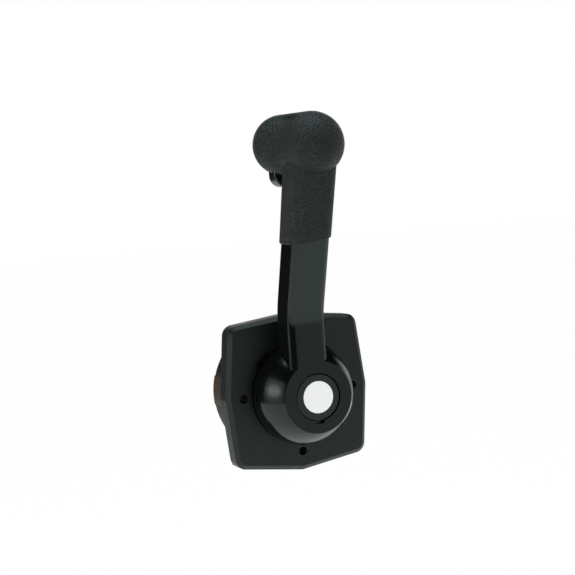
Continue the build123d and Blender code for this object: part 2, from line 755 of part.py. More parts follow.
finish(grip_sleeve, "grip_sleeve")

# the knob is a fat capsule from over the arm to its slimmer inboard end
knob_dx, knob_dy, knob_dz = (b - a for a, b in zip(KNOB_OUTER, KNOB_INNER))
knob_run = math.sqrt(knob_dx ** 2 + knob_dy ** 2 + knob_dz ** 2)
KNOB_PLANE = Plane(origin=KNOB_OUTER, x_dir=(knob_dx, knob_dy, knob_dz), z_dir=(knob_dy, -knob_dx, 0))
knob_taper = math.asin((KNOB_R - KNOB_INNER_R) / knob_run)
arm_end = ARM_TOP - ARM_T / 2 * math.tan(CRANK / 2)


def knob_point(centre, radius, angle):
    """A point of the knob's outline, at an angle from the inboard end."""
    return (centre + radius * math.cos(angle), radius * math.sin(angle))


shoulder = math.pi / 2 - knob_taper
with BuildPart() as grip_knob:
    with BuildSketch(KNOB_PLANE):
        with BuildLine():
            Line((-KNOB_R, 0), (knob_run + KNOB_INNER_R, 0))
            ThreePointArc(
                (knob_run + KNOB_INNER_R, 0),
                knob_point(knob_run, KNOB_INNER_R, shoulder / 2),
                knob_point(knob_run, KNOB_INNER_R, shoulder),
            )
            Line(knob_point(knob_run, KNOB_INNER_R, shoulder), knob_point(0, KNOB_R, shoulder))
            ThreePointArc(
                knob_point(0, KNOB_R, shoulder),
                knob_point(0, KNOB_R, (math.pi + shoulder) / 2),
                (-KNOB_R, 0),
            )
        make_face()
    revolve(axis=Axis(KNOB_PLANE.origin, KNOB_PLANE.x_dir))
    with BuildSketch(upper_arm(38.0, SLEEVE_T_LOW / 2 - SLEEVE_PROUD)):
        RectangleRounded(SLEEVE_W, SLEEVE_T_LOW, 7.5)
    with BuildSketch(upper_arm(SLEEVE_TOP, SLEEVE_T_TOP / 2 - SLEEVE_PROUD)):
        RectangleRounded(SLEEVE_W, SLEEVE_T_TOP, 7.5)
    loft(mode=Mode.SUBTRACT)
    with BuildSketch(upper_arm(80.0, ARM_T / 2)):
        RectangleRounded(ARM_W, ARM_T, ARM_EDGE_R)
    extrude(amount=arm_end - 80.0, mode=Mode.SUBTRACT)
    # room for the trigger and its tongue to rise
    with BuildSketch(Plane((TRIGGER_X, TRIGGER_BACK + 0.6, TRIGGER_LOW), x_dir=(1, 0, 0), z_dir=(0, -1, 0))):
        Rectangle(TRIGGER_W + 1.6, 2 * (TRIGGER_TOP + 5.0 - TRIGGER_LOW))
    extrude(amount=TRIGGER_BACK - TRIGGER_FRONT + 3.0, mode=Mode.SUBTRACT)
    with BuildSketch(upper_arm(TONGUE_LOW - 0.6, ARM_T + 6.0)):
        Rectangle(TONGUE_W + 0.8, 18.0)
    extrude(amount=TONGUE_T + TRIGGER_TRAVEL + 1.2, mode=Mode.SUBTRACT)
    with Locations(PIN_PLANE):
        Cylinder(1.5, 30, align=(Align.CENTER, Align.CENTER, Align.MIN), mode=Mode.SUBTRACT)
finish(grip_knob, "grip_knob")

with BuildPart() as knob_pin:
    with Locations(PIN_PLANE):
        Cylinder(1.5, 24, align=(Align.CENTER, Align.CENTER, Align.MIN))
finish(knob_pin, "knob_pin")

# ---------------------------------------------------------------- neutral lock
with BuildPart() as lock_trigger:
    with BuildSketch(Plane(origin=(TRIGGER_X, TRIGGER_BACK, TRIGGER_LOW), x_dir=(1, 0, 0), z_dir=(0, -1, 0))):
        with Locations((0, (TRIGGER_TOP - TRIGGER_LOW) / 2)):
            Rectangle(TRIGGER_W, TRIGGER_TOP - TRIGGER_LOW)
    extrude(amount=TRIGGER_BACK - TRIGGER_FRONT)
    fillet(lock_trigger.edges().filter_by(Axis.Y).group_by(Axis.Z)[0], 8.2)
    fillet(lock_trigger.faces().filter_by(Axis.Y).sort_by(Axis.Y)[0].outer_wire().edges(), 1.5)
    with BuildSketch(upper_arm(TONGUE_LOW, TONGUE_AT)):
        Rectangle(TONGUE_W, TONGUE_LONG)
    extrude(amount=TONGUE_T)
finish(lock_trigger, "lock_trigger")

with BuildPart() as lock_rod:
    with BuildSketch(upper_arm(-4.5, ROD_BEHIND)):
        Circle(ROD_R)
    extrude(amount=TONGUE_LOW + 4.5)
    with BuildSketch(up_arm(54.2, PIN_Y - 4.0)):
        with Locations((ARM_X / 2, 0)):
            Rectangle(13.4, 12.0)
        with Locations((0, 3.75)):
            Rectangle(5.8, 6.5, mode=Mode.SUBTRACT)
    extrude(amount=1.2)
finish(lock_rod, "lock_rod")

with BuildPart() as lock_pin:
    with BuildSketch(up_arm(PIN_LOW, (PIN_Y - 19.3) / 2)):
        Rectangle(6.0, -16.6 - PIN_Y + 2.7)
    extrude(amount=PIN_FOOT)
    with BuildSketch(up_arm(PIN_LOW + 1, PIN_Y)):
        Circle(PIN_R)
    extrude(amount=PIN_TOP - PIN_LOW - 1)
    with BuildSketch(up_arm(PIN_TOP - 2.0, PIN_Y)):
        Circle(3.8)
    extrude(amount=2.0)
finish(lock_pin, "lock_pin")

with BuildPart() as pin_guide:
    with BuildSketch(up_arm(32.6, PIN_Y)):
        Circle(SPRING_ROOM_R)
        Circle(PIN_R + RUN, mode=Mode.SUBTRACT)
    extrude(amount=4.0)
finish(pin_guide, "pin_guide")

with BuildPart() as pin_clip:
    with BuildSketch(up_arm(37.0, PIN_Y)):
        Circle(3.9)
        Circle(PIN_R, mode=Mode.SUBTRACT)
    extrude(amount=1.0)
finish(pin_clip, "pin_clip")

with BuildPart() as pin_spring:
    coil_plane = up_arm(38.6, PIN_Y)
    with BuildLine() as pin_coil:
        Helix(pitch=2.2, height=10.8, radius=3.4, center=coil_plane.origin, direction=coil_plane.z_dir)
    with BuildSketch(Plane(origin=pin_coil.line @ 0, z_dir=pin_coil.line % 0)):
        Circle(0.42)
    sweep()
finish(pin_spring, "pin_spring")

# ---------------------------------------------------------------- hub button
with BuildPart() as hub_bolt:
    with BuildSketch(front_at(CAP_FLOOR - 1.2)):
        Circle(5.0)
    extrude(amount=4.0)
    with BuildSketch(front_at(CAP_FLOOR - 1.2)):
        Circle(3.0)
    extrude(amount=-18.5)
    with BuildSketch(front_at(CAP_FLOOR - 5.2)):
        RegularPolygon(2.9, 6)
    extrude(amount=-2.6, mode=Mode.SUBTRACT)
finish(hub_bolt, "hub_bolt")

with BuildPart() as hub_washer:
    with BuildSketch(front_at(CAP_FLOOR)):
        Circle(8.0)
        Circle(3.3, mode=Mode.SUBTRACT)
    extrude(amount=1.2)
finish(hub_washer, "hub_washer")

with BuildPart() as button_spring:
    with BuildSketch(front_at(CAP_FLOOR)):
        Circle(15.6)
        Circle(12.0, mode=Mode.SUBTRACT)
    extrude(amount=1.4)
finish(button_spring, "button_spring")

with BuildPart() as hub_button:
    with BuildSketch(front_at(CAP_FACE)):
        Circle(CAP_R)
    extrude(amount=-7.4)
    fillet(hub_button.faces().sort_by(Axis.Y)[0].outer_wire().edges(), 1.0)
    with BuildSketch(front_at(CAP_FACE + 2.4)):
        Circle(CAP_R - 2.6)
    extrude(amount=-8, mode=Mode.SUBTRACT)
    with BuildSketch(front_at(CAP_FACE - 1)):
        Circle(EMBLEM_R)
    extrude(amount=-1.5, mode=Mode.SUBTRACT)
finish(hub_button, "hub_button")

with BuildPart() as emblem_disc:
    with BuildSketch(front_at(CAP_FACE + 0.5)):
        Circle(EMBLEM_R)
    extrude(amount=1.1)
    fillet(emblem_disc.faces().sort_by(Axis.Y)[0].outer_wire().edges(), 0.25)
finish(emblem_disc, "emblem_disc")
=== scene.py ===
"""Side-mount marine throttle and shift control: finishes, the shaped knob and a small stage."""

import math

import bpy
from bpy.props import FloatProperty, FloatVectorProperty, PointerProperty
from mathutils import Matrix, Vector


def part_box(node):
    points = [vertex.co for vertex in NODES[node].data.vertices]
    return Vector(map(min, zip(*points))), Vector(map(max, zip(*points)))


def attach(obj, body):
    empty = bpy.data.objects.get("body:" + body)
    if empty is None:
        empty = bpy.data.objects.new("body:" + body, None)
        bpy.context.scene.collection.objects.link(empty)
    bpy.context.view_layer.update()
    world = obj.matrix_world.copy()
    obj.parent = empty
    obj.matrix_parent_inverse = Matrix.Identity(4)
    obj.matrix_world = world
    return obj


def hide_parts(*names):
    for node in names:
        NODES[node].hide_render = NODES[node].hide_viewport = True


bl_info = {
    "name": "Marine Side-Mount Control",
    "version": (1, 0, 0),
    "blender": (4, 5, 0),
    "location": "View3D > Sidebar > Control",
    "description": "Dresses the frame of a side-mount throttle and shift control",
    "category": "Object",
}

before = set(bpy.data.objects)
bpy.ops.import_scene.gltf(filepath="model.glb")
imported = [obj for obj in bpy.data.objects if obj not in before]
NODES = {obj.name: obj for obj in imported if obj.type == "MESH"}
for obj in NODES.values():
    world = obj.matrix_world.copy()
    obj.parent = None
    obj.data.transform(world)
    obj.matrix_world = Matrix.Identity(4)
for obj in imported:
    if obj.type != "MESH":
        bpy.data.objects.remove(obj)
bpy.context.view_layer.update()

MM = 0.001
GLOSS_TINT = (0.80, 1.0, 0.93)      # greenish sheen of the black paints and plastics

# centres of the knob's two round ends
KNOB_OUTER = (-4.2 * MM, -77.4 * MM, 175.2 * MM)
KNOB_INNER = (-13.1 * MM, -49.0 * MM, 176.6 * MM)
KNOB_VOXEL = 0.8 * MM
WELD_GAP = 0.02 * MM

# bands over which the knob's waist comes in, as (none, full)
WAIST_OPEN_SIDE = (6.0 * MM, 14.0 * MM)
WAIST_SLEEVE_SIDE = (0.0, 10.0 * MM)
WAIST_SLEEVE_TOP = (173.0 * MM, 183.0 * MM)
WAIST_UNDERSIDE = (153.0 * MM, 163.0 * MM)

# the side box: azimuth, elevation, distance, and width and height at a spread of 1
SIDE_BOX = (-94.0, 11.0, 0.8)
SIDE_BOX_SIZE = (0.8, 1.3)
SIDE_BOX_LAMPS = (                  # name, spread, share of the power
    ("Side box", 0.46, 0.14),
    ("Side box middle", 0.28, 0.30),
    ("Side box core", 0.12, 0.56),
)
TOP_BOX = (120.0, 84.0, 0.9)
TOP_BOX_SIZE = (0.85, 0.85)
TOP_BOX_COLOR = (0.88, 0.95, 1.0)

FLOOR_SIZE = 24.0
FLOOR_GLOW = 0.97                   # share of plain white in what the floor shows the camera
SENSOR_WIDTH = 36.0


# ---------------------------------------------------------------- settings
class FinishSettings(bpy.types.PropertyGroup):
    """Colours and surface values of the control's finishes."""

    plate_black: FloatVectorProperty(
        name="Plate black", description="Paint of the mounting plate", subtype="COLOR",
        default=(0.0032, 0.0037, 0.0037), min=0.0, max=1.0)
    lever_black: FloatVectorProperty(
        name="Lever black", description="Gloss paint of the lever and its dome", subtype="COLOR",
        default=(0.0016, 0.0018, 0.0018), min=0.0, max=1.0)
    lever_roughness: FloatProperty(
        name="Lever roughness", description="Roughness of the lever's paint",
        default=0.17, min=0.0, max=1.0, subtype="FACTOR")
    grip_black: FloatVectorProperty(
        name="Grip black", description="Soft vinyl of the sleeve and knob", subtype="COLOR",
        default=(0.014, 0.016, 0.0165), min=0.0, max=1.0)
    grip_cell: FloatProperty(
        name="Grip grain", description="Size of one pebble of the grip's leather grain",
        default=0.0015, min=0.0002, max=0.01, unit="LENGTH")
    waist_depth: FloatProperty(
        name="Knob waist", description="How far the knob's sides draw in between its two round ends",
        default=5.0 * MM, min=0.0, max=8.0 * MM, unit="LENGTH")
    waist_at: FloatProperty(
        name="Waist place", description="Where the waist lies, 0 at the outer end and 1 at the inboard end",
        default=0.42, min=0.0, max=1.0)
    waist_width: FloatProperty(
        name="Waist width", description="How wide the waist is, as a share of the run between the ends",
        default=0.42, min=0.1, max=1.0)
    phenolic_brown: FloatVectorProperty(
        name="Guard brown", description="Cloth-filled phenolic of the cable guard", subtype="COLOR",
        default=(0.040, 0.022, 0.013), min=0.0, max=1.0)
    disc_white: FloatVectorProperty(
        name="Disc white", description="Plain disc on the hub button", subtype="COLOR",
        default=(0.93, 0.93, 0.93), min=0.0, max=1.0)


class StageSettings(bpy.types.PropertyGroup):
    """Camera, floor and lamps."""

    azimuth: FloatProperty(
        name="Camera azimuth", description="Angle of the camera round the object, 0 in front of it",
        default=math.radians(-23.23), subtype="ANGLE")
    elevation: FloatProperty(
        name="Camera elevation", description="Angle of the camera above the horizon",
        default=math.radians(3.98), subtype="ANGLE")
    roll: FloatProperty(
        name="Camera roll", description="Turn of the camera about its own axis",
        default=math.radians(4.14), subtype="ANGLE")
    distance: FloatProperty(
        name="Camera distance", description="From the aimed point to the camera",
        default=0.9864, min=0.1, unit="LENGTH")
    lens: FloatProperty(
        name="Lens", description="Focal length on a 36 mm sensor",
        default=86.14, min=10.0, max=400.0)
    aim_x: FloatProperty(
        name="Aim across", description="Where the camera aims, across the plate's front",
        default=-0.00298, unit="LENGTH")
    aim_z: FloatProperty(
        name="Aim height", description="Where the camera aims, above the hub",
        default=0.07615, unit="LENGTH")
    floor_drop: FloatProperty(
        name="Floor drop", description="How far below the hub the floor lies",
        default=0.33, min=0.06, unit="LENGTH")
    key_power: FloatProperty(
        name="Side box power", description="Power of the soft box on the forward side",
        default=3.5, min=0.0, unit="POWER")
    top_power: FloatProperty(
        name="Top box power", description="Power of the soft box overhead",
        default=5.0, min=0.0, unit="POWER")
    table_edge: FloatProperty(
        name="Table edge", description="Where the pale table ends in reflections",
        default=1.5, min=0.3, unit="LENGTH")
    room_level: FloatProperty(
        name="Aft room level", description="Brightness of the room aft of the lever in reflections",
        default=0.5, min=0.0, max=1.0)
    ambient: FloatProperty(
        name="Ambient level", description="Even light on matt surfaces, 1 is a white room",
        default=0.85, min=0.0, max=2.0)


# ---------------------------------------------------------------- node helpers
def finish_settings():
    return bpy.context.scene.control_finish


def stage_settings():
    return bpy.context.scene.control_stage


def add_node(tree, kind, **values):
    """A node with its input sockets set by name and its own properties set as prop_NAME."""
    node = tree.nodes.new(kind)
    for key, value in values.items():
        if key.startswith("prop_"):
            setattr(node, key[5:], value)
        else:
            node.inputs[key.replace("_", " ")].default_value = value
    return node


def new_group(name, inputs, outputs):
    """An empty shader group with named float or colour sockets."""
    group = bpy.data.node_groups.new(name, "ShaderNodeTree")
    for label, kind, default in inputs:
        socket = group.interface.new_socket(label, in_out="INPUT", socket_type=kind)
        socket.default_value = default
    for label, kind in outputs:
        group.interface.new_socket(label, in_out="OUTPUT", socket_type=kind)
    return group, group.nodes.new("NodeGroupInput"), group.nodes.new("NodeGroupOutput")


def object_coordinates(tree):
    return tree.nodes.new("ShaderNodeTexCoord").outputs["Object"]


def one_over(tree, size):
    """The texture scale for a feature of this size."""
    inverse = add_node(tree, "ShaderNodeMath", prop_operation="DIVIDE")
    inverse.inputs[0].default_value = 1.0
    tree.links.new(size, inverse.inputs[1])
    return inverse.outputs[0]


def combine(tree, operation, first, second):
    """A Math node on two outputs."""
    node = add_node(tree, "ShaderNodeMath", prop_operation=operation)
    tree.links.new(first, node.inputs[0])
    tree.links.new(second, node.inputs[1])
    return node.outputs[0]


def soft_step(tree, value, start, end, low=0.0, high=1.0):
    """A smooth step from low at start to high at end."""
    step = add_node(
        tree, "ShaderNodeMapRange", prop_interpolation_type="SMOOTHSTEP",
        From_Min=start, From_Max=end, To_Min=low, To_Max=high)
    tree.links.new(value, step.inputs["Value"])
    return step.outputs[0]


def powder_group():
    """Fine powder-coat tooth: a height for bump, and a sparse mask of bright grains that are painted glints
    of the coat's sparkle.
    """
    name = "Powder tooth"
    if name in bpy.data.node_groups:
        return bpy.data.node_groups[name]
    group, inlet, outlet = new_group(
        name,
        [("Grain size", "NodeSocketFloat", 0.0006), ("Speckle", "NodeSocketFloat", 0.5)],
        [("Height", "NodeSocketFloat"), ("Speck", "NodeSocketFloat")],
    )
    link = group.links.new
    scale = one_over(group, inlet.outputs["Grain size"])
    where = object_coordinates(group)
    tooth = add_node(group, "ShaderNodeTexNoise", Detail=3.0, Roughness=0.65)
    link(where, tooth.inputs["Vector"])
    link(scale, tooth.inputs["Scale"])
    link(tooth.outputs["Fac"], outlet.inputs["Height"])
    grains = add_node(group, "ShaderNodeTexVoronoi", Randomness=1.0)
    link(where, grains.inputs["Vector"])
    link(scale, grains.inputs["Scale"])
    # painted glints: the grains nearest their cell centres are marked to be lightened in the colour,
    # standing in for sparkle of light on the coat
    mask = add_node(group, "ShaderNodeMapRange", From_Min=0.16, From_Max=0.04)
    link(grains.outputs["Distance"], mask.inputs["Value"])
    painted_glint = combine(group, "MULTIPLY", mask.outputs[0], inlet.outputs["Speckle"])
    link(painted_glint, outlet.inputs["Speck"])
    return group


def leather_group():
    """Pebbled leather grain: rounded cells with creases between them, and a crease mask that paints shade
    into the colour.
    """
    name = "Leather pebble"
    if name in bpy.data.node_groups:
        return bpy.data.node_groups[name]
    group, inlet, outlet = new_group(
        name,
        [("Cell size", "NodeSocketFloat", 0.0012)],
        [("Height", "NodeSocketFloat"), ("Crease shade", "NodeSocketFloat")],
    )
    link = group.links.new
    scale = one_over(group, inlet.outputs["Cell size"])
    where = object_coordinates(group)
    warp = add_node(group, "ShaderNodeTexNoise", Scale=450.0, Detail=2.0)
    link(where, warp.inputs["Vector"])
    shift = add_node(group, "ShaderNodeMixRGB", prop_blend_type="LINEAR_LIGHT", Fac=0.0006)
    link(where, shift.inputs["Color1"])
    link(warp.outputs["Color"], shift.inputs["Color2"])
    cells = add_node(group, "ShaderNodeTexVoronoi", prop_feature="DISTANCE_TO_EDGE", Randomness=1.0)
    link(shift.outputs[0], cells.inputs["Vector"])
    link(scale, cells.inputs["Scale"])
    # the crease profile is both the bump height and the mask for painted shade in the creases
    crease_height_and_shade = soft_step(group, cells.outputs["Distance"], 0.0, 0.22)
    fine = add_node(group, "ShaderNodeTexNoise", Scale=2600.0, Detail=2.0)
    link(where, fine.inputs["Vector"])
    total = add_node(group, "ShaderNodeMath", prop_operation="MULTIPLY_ADD")
    total.inputs[1].default_value = 0.35
    link(fine.outputs["Fac"], total.inputs[0])
    link(crease_height_and_shade, total.inputs[2])
    link(total.outputs[0], outlet.inputs["Height"])
    link(crease_height_and_shade, outlet.inputs["Crease shade"])
    return group


def smudge_group():
    """Slow variation of a handled surface, from 0 to 1."""
    name = "Handling smudge"
    if name in bpy.data.node_groups:
        return bpy.data.node_groups[name]
    group, inlet, outlet = new_group(
        name,
        [("Patch size", "NodeSocketFloat", 0.02), ("Low", "NodeSocketFloat", 0.0),
         ("High", "NodeSocketFloat", 1.0)],
        [("Value", "NodeSocketFloat")],
    )
    link = group.links.new
    scale = one_over(group, inlet.outputs["Patch size"])
    cloud = add_node(group, "ShaderNodeTexNoise", Detail=5.0, Roughness=0.55)
    link(object_coordinates(group), cloud.inputs["Vector"])
    link(scale, cloud.inputs["Scale"])
    spread = add_node(group, "ShaderNodeMapRange", From_Min=0.3, From_Max=0.7)
    link(cloud.outputs["Fac"], spread.inputs["Value"])
    link(inlet.outputs["Low"], spread.inputs["To Min"])
    link(inlet.outputs["High"], spread.inputs["To Max"])
    link(spread.outputs[0], outlet.inputs["Value"])
    return group


def use_group(tree, group, **values):
    node = tree.nodes.new("ShaderNodeGroup")
    node.node_tree = group
    for key, value in values.items():
        node.inputs[key.replace("_", " ")].default_value = value
    return node


def start_material(name, color, roughness, metallic=0.0):
    """A new material with its Principled shader, ready for detail."""
    material = bpy.data.materials.new(name)
    material.use_nodes = True
    tree = material.node_tree
    shader = tree.nodes["Principled BSDF"]
    shader.inputs["Base Color"].default_value = (*color, 1.0)
    shader.inputs["Roughness"].default_value = roughness
    shader.inputs["Metallic"].default_value = metallic
    if metallic == 0.0:
        shader.inputs["Specular Tint"].default_value = (*GLOSS_TINT, 1.0)
    material.diffuse_color = (*color, 1.0)
    return material, tree, shader


def bump_from(tree, shader, height, strength, depth):
    """Feed a height to the shader's normal through a Bump node."""
    bump = add_node(tree, "ShaderNodeBump", Strength=strength, Distance=depth)
    tree.links.new(height, bump.inputs["Height"])
    tree.links.new(bump.outputs["Normal"], shader.inputs["Normal"])


def roughness_from_smudge(tree, shader, patch, low, high):
    smudge = use_group(tree, smudge_group(), Patch_size=patch, Low=low, High=high)
    tree.links.new(smudge.outputs["Value"], shader.inputs["Roughness"])


def lighten_by(tree, shader, mask, dark, light):
    """Mix two colours by a mask into the base colour."""
    mix = add_node(tree, "ShaderNodeMix", prop_data_type="RGBA")
    mix.inputs[6].default_value = (*dark, 1.0)
    mix.inputs[7].default_value = (*light, 1.0)
    tree.links.new(mask, mix.inputs[0])
    tree.links.new(mix.outputs[2], shader.inputs["Base Color"])


def powder_paint(name, color, size, strength, low, high, glint_share=0.5, lift=3.0):
    material, tree, shader = start_material(name, color, (low + high) / 2)
    powder = use_group(tree, powder_group(), Grain_size=size, Speckle=glint_share)
    bump_from(tree, shader, powder.outputs["Height"], strength, 0.0002)
    roughness_from_smudge(tree, shader, 0.03, low, high)
    # painted glints: the grain mask lightens the colour by lift, standing in for sparkle of light on the
    # coat
    lighten_by(tree, shader, powder.outputs["Speck"], color, tuple(c * lift for c in color))
    return material


def gloss_paint(name, color, roughness):
    material, tree, shader = start_material(name, color, roughness)
    orange = use_group(tree, powder_group(), Grain_size=0.0016, Speckle=0.0)
    bump_from(tree, shader, orange.outputs["Height"], 0.05, 0.0001)
    roughness_from_smudge(tree, shader, 0.025, roughness * 0.85, roughness * 1.2)
    return material


def leather_vinyl(name, color, cell):
    material, tree, shader = start_material(name, color, 0.45)
    grain = use_group(tree, leather_group(), Cell_size=cell)
    bump_from(tree, shader, grain.outputs["Height"], 1.0, 0.0011)
    roughness_from_smudge(tree, shader, 0.02, 0.36, 0.46)
    # painted shade: the creases between the pebbles are darkened to 0.55 of the colour
    lighten_by(tree, shader, grain.outputs["Crease shade"], tuple(c * 0.55 for c in color), color)
    return material


def plain_metal(name, color, roughness, size=0.0004):
    material, tree, shader = start_material(name, color, roughness, metallic=1.0)
    tooth = use_group(tree, powder_group(), Grain_size=size, Speckle=0.0)
    bump_from(tree, shader, tooth.outputs["Height"], 0.12, 0.00005)
    roughness_from_smudge(tree, shader, 0.006, roughness * 0.8, roughness * 1.35)
    return material


def moulded(name, color, roughness, strength=0.08):
    material, tree, shader = start_material(name, color, roughness)
    tooth = use_group(tree, powder_group(), Grain_size=0.0004, Speckle=0.0)
    bump_from(tree, shader, tooth.outputs["Height"], strength, 0.0001)
    roughness_from_smudge(tree, shader, 0.01, roughness * 0.85, roughness * 1.2)
    return material


def woven_phenolic(name, color):
    """Cloth-filled phenolic: a fine square weave under a matt resin."""
    material, tree, shader = start_material(name, color, 0.5)
    where = object_coordinates(tree)
    bands = []
    for axis in ("X", "Z"):
        wave = add_node(
            tree, "ShaderNodeTexWave", prop_bands_direction=axis, Scale=420.0, Distortion=1.5)
        tree.links.new(where, wave.inputs["Vector"])
        bands.append(wave.outputs["Fac"])
    weave = combine(tree, "MULTIPLY", *bands)
    dark, light = (tuple(c * share for c in color) for share in (0.7, 1.35))
    lighten_by(tree, shader, weave, dark, light)
    bump_from(tree, shader, weave, 0.2, 0.0001)
    return material


def paint_nodes(material, *names):
    """Give whole CAD nodes one finish."""
    for name in names:
        data = NODES[name].data
        data.materials.clear()
        data.materials.append(material)


def deselect_everything():
    for thing in bpy.context.selected_objects:
        thing.select_set(False)


def apply_modifier(piece, kind, **values):
    """Add a modifier with its values and apply it to the piece."""
    deselect_everything()
    piece.select_set(True)
    bpy.context.view_layer.objects.active = piece
    modifier = piece.modifiers.new(kind.title(), kind)
    for key, value in values.items():
        setattr(modifier, key, value)
    bpy.ops.object.modifier_apply(modifier=modifier.name)


def merged_copy(node, name):
    """A copy of a CAD node's mesh with its doubles merged, as a new piece."""
    piece = bpy.data.objects.new(name, NODES[node].data.copy())
    bpy.context.collection.objects.link(piece)
    apply_modifier(piece, "WELD", merge_threshold=WELD_GAP)
    return piece


def smooth_rise(value, low, high):
    """0 below low, 1 above high, smooth between."""
    t = min(1.0, max(0.0, (value - low) / (high - low)))
    return t * t * (3.0 - 2.0 * t)


def waist_knob(piece, settings):
    """Draw the knob's sides in between its two round ends, and leave its underside and bores."""
    outer, inner = Vector(KNOB_OUTER), Vector(KNOB_INNER)
    along = (inner - outer).normalized()
    side = along.cross(Vector((0.0, 0.0, 1.0))).normalized()
    run = (inner - outer).length
    for vertex in piece.data.vertices:
        offset = vertex.co - outer
        share = offset.dot(along) / run
        across = offset.dot(side)
        middle = math.exp(-((share - settings.waist_at) / settings.waist_width) ** 2)
        height = vertex.co.z
        open_side = smooth_rise(-across, *WAIST_OPEN_SIDE) * smooth_rise(height, *WAIST_UNDERSIDE)
        sleeve_side = smooth_rise(across, *WAIST_SLEEVE_SIDE) * smooth_rise(height, *WAIST_SLEEVE_TOP)
        pull = settings.waist_depth * middle * max(open_side, sleeve_side)
        vertex.co -= side * (math.copysign(1.0, across) * pull)


# ---------------------------------------------------------------- operators
class CONTROL_OT_plate(bpy.types.Operator):
    """Finish the mounting plate and its gasket"""

    bl_idname = "control.plate"
    bl_label = "Mounting plate"

    def execute(self, context):
        color = tuple(finish_settings().plate_black)
        # the last two values paint bright glints into the plate's colour, at thirty times its black
        paint = powder_paint("Plate wrinkle paint", color, 0.0008, 1.0, 0.36, 0.46, 1.0, 30.0)
        paint_nodes(paint, "mounting_plate")
        rubber = moulded("Gasket rubber", (0.012, 0.012, 0.012), 0.75, 0.2)
        paint_nodes(rubber, "panel_gasket", "shaft_seal")
        return {"FINISHED"}


class CONTROL_OT_lever(bpy.types.Operator):
    """Finish the lever arm, its dome and the rear channel cover"""

    bl_idname = "control.lever"
    bl_label = "Lever"

    def execute(self, context):
        settings = finish_settings()
        black = tuple(settings.lever_black)
        paint_nodes(gloss_paint("Lever gloss paint", black, settings.lever_roughness), "control_lever")
        cover = moulded("Channel cover plastic", (0.012, 0.0125, 0.0125), 0.4)
        paint_nodes(cover, "lever_back_cover")
        return {"FINISHED"}


class CONTROL_OT_grip(bpy.types.Operator):
    """Finish the sleeve, the knob and the lock trigger"""

    bl_idname = "control.grip"
    bl_label = "Grip"

    def execute(self, context):
        settings = finish_settings()
        vinyl = leather_vinyl("Grip vinyl", tuple(settings.grip_black), settings.grip_cell)
        paint_nodes(vinyl, "grip_sleeve", "grip_knob")
        knob = merged_copy("grip_knob", "knob_two_lobed")
        apply_modifier(knob, "REMESH", mode="VOXEL", voxel_size=KNOB_VOXEL)
        waist_knob(knob, settings)
        apply_modifier(knob, "SMOOTH", factor=0.5, iterations=4)
        knob.data.materials.clear()
        knob.data.materials.append(vinyl)
        deselect_everything()
        knob.select_set(True)
        bpy.context.view_layer.objects.active = knob
        bpy.ops.object.shade_smooth()
        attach(knob, "lever")
        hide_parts("grip_knob")
        paint_nodes(moulded("Trigger plastic", (0.006, 0.007, 0.008), 0.25), "lock_trigger")
        return {"FINISHED"}


class CONTROL_OT_button(bpy.types.Operator):
    """Finish the hub button and its plain white disc"""

    bl_idname = "control.button"
    bl_label = "Hub button"

    def execute(self, context):
        paint_nodes(moulded("Cap plastic", (0.010, 0.0112, 0.0112), 0.38), "hub_button")
        disc = start_material("Disc white", tuple(finish_settings().disc_white), 0.25)[0]
        paint_nodes(disc, "emblem_disc")
        return {"FINISHED"}


class CONTROL_OT_mechanism(bpy.types.Operator):
    """Finish the drum behind the panel and the working parts"""

    bl_idname = "control.mechanism"
    bl_label = "Mechanism"

    def execute(self, context):
        # the last two values of the drum and spigot paints set painted glints in their colour
        drum = powder_paint(
            "Drum paint", (0.005, 0.0055, 0.0055), 0.0006, 0.6, 0.5, 0.65, 0.8, 8.0)
        paint_nodes(drum, "mechanism_housing", "rear_cover", "detent_plug")
        brown = woven_phenolic("Guard phenolic", tuple(finish_settings().phenolic_brown))
        paint_nodes(brown, "cable_guard", "friction_pad")
        casting = powder_paint(
            "Spigot casting paint", (0.006, 0.0065, 0.0065), 0.0007, 0.6, 0.6, 0.75, 0.3, 3.0)
        paint_nodes(casting, "panel_spigot")
        zinc = plain_metal("Zinc plate", (0.62, 0.6, 0.52), 0.32)
        paint_nodes(
            zinc, "lock_gate", "detent_ball", "main_shaft", "shaft_key", "drive_gear", "detent_wheel",
            "throttle_arm", "knob_pin", "lock_rod", "lock_pin", "shift_gear", "shift_shaft", "shift_arm")
        screw = plain_metal("Stainless fastener", (0.58, 0.58, 0.57), 0.28)
        paint_nodes(
            screw, "rear_cover_screws", "spigot_screws", "gate_screws", "friction_screw", "switch_screws",
            "throttle_arm_nut", "hub_bolt", "hub_washer", "shift_arm_nut")
        paint_nodes(plain_metal("Tarnished brass", (0.10, 0.078, 0.045), 0.6), "threaded_inserts")
        bronze = plain_metal("Sintered bronze", (0.5, 0.33, 0.14), 0.5, 0.0003)
        paint_nodes(bronze, "front_bush", "rear_bush", "shift_bush")
        wire = plain_metal("Spring wire", (0.4, 0.4, 0.42), 0.25)
        paint_nodes(wire, "detent_spring", "button_spring", "pin_clip", "pin_spring")
        paint_nodes(moulded("Switch case", (0.02, 0.02, 0.022), 0.4), "neutral_switch")
        paint_nodes(moulded("Nylon", (0.7, 0.69, 0.64), 0.45), "pin_guide")
        return {"FINISHED"}


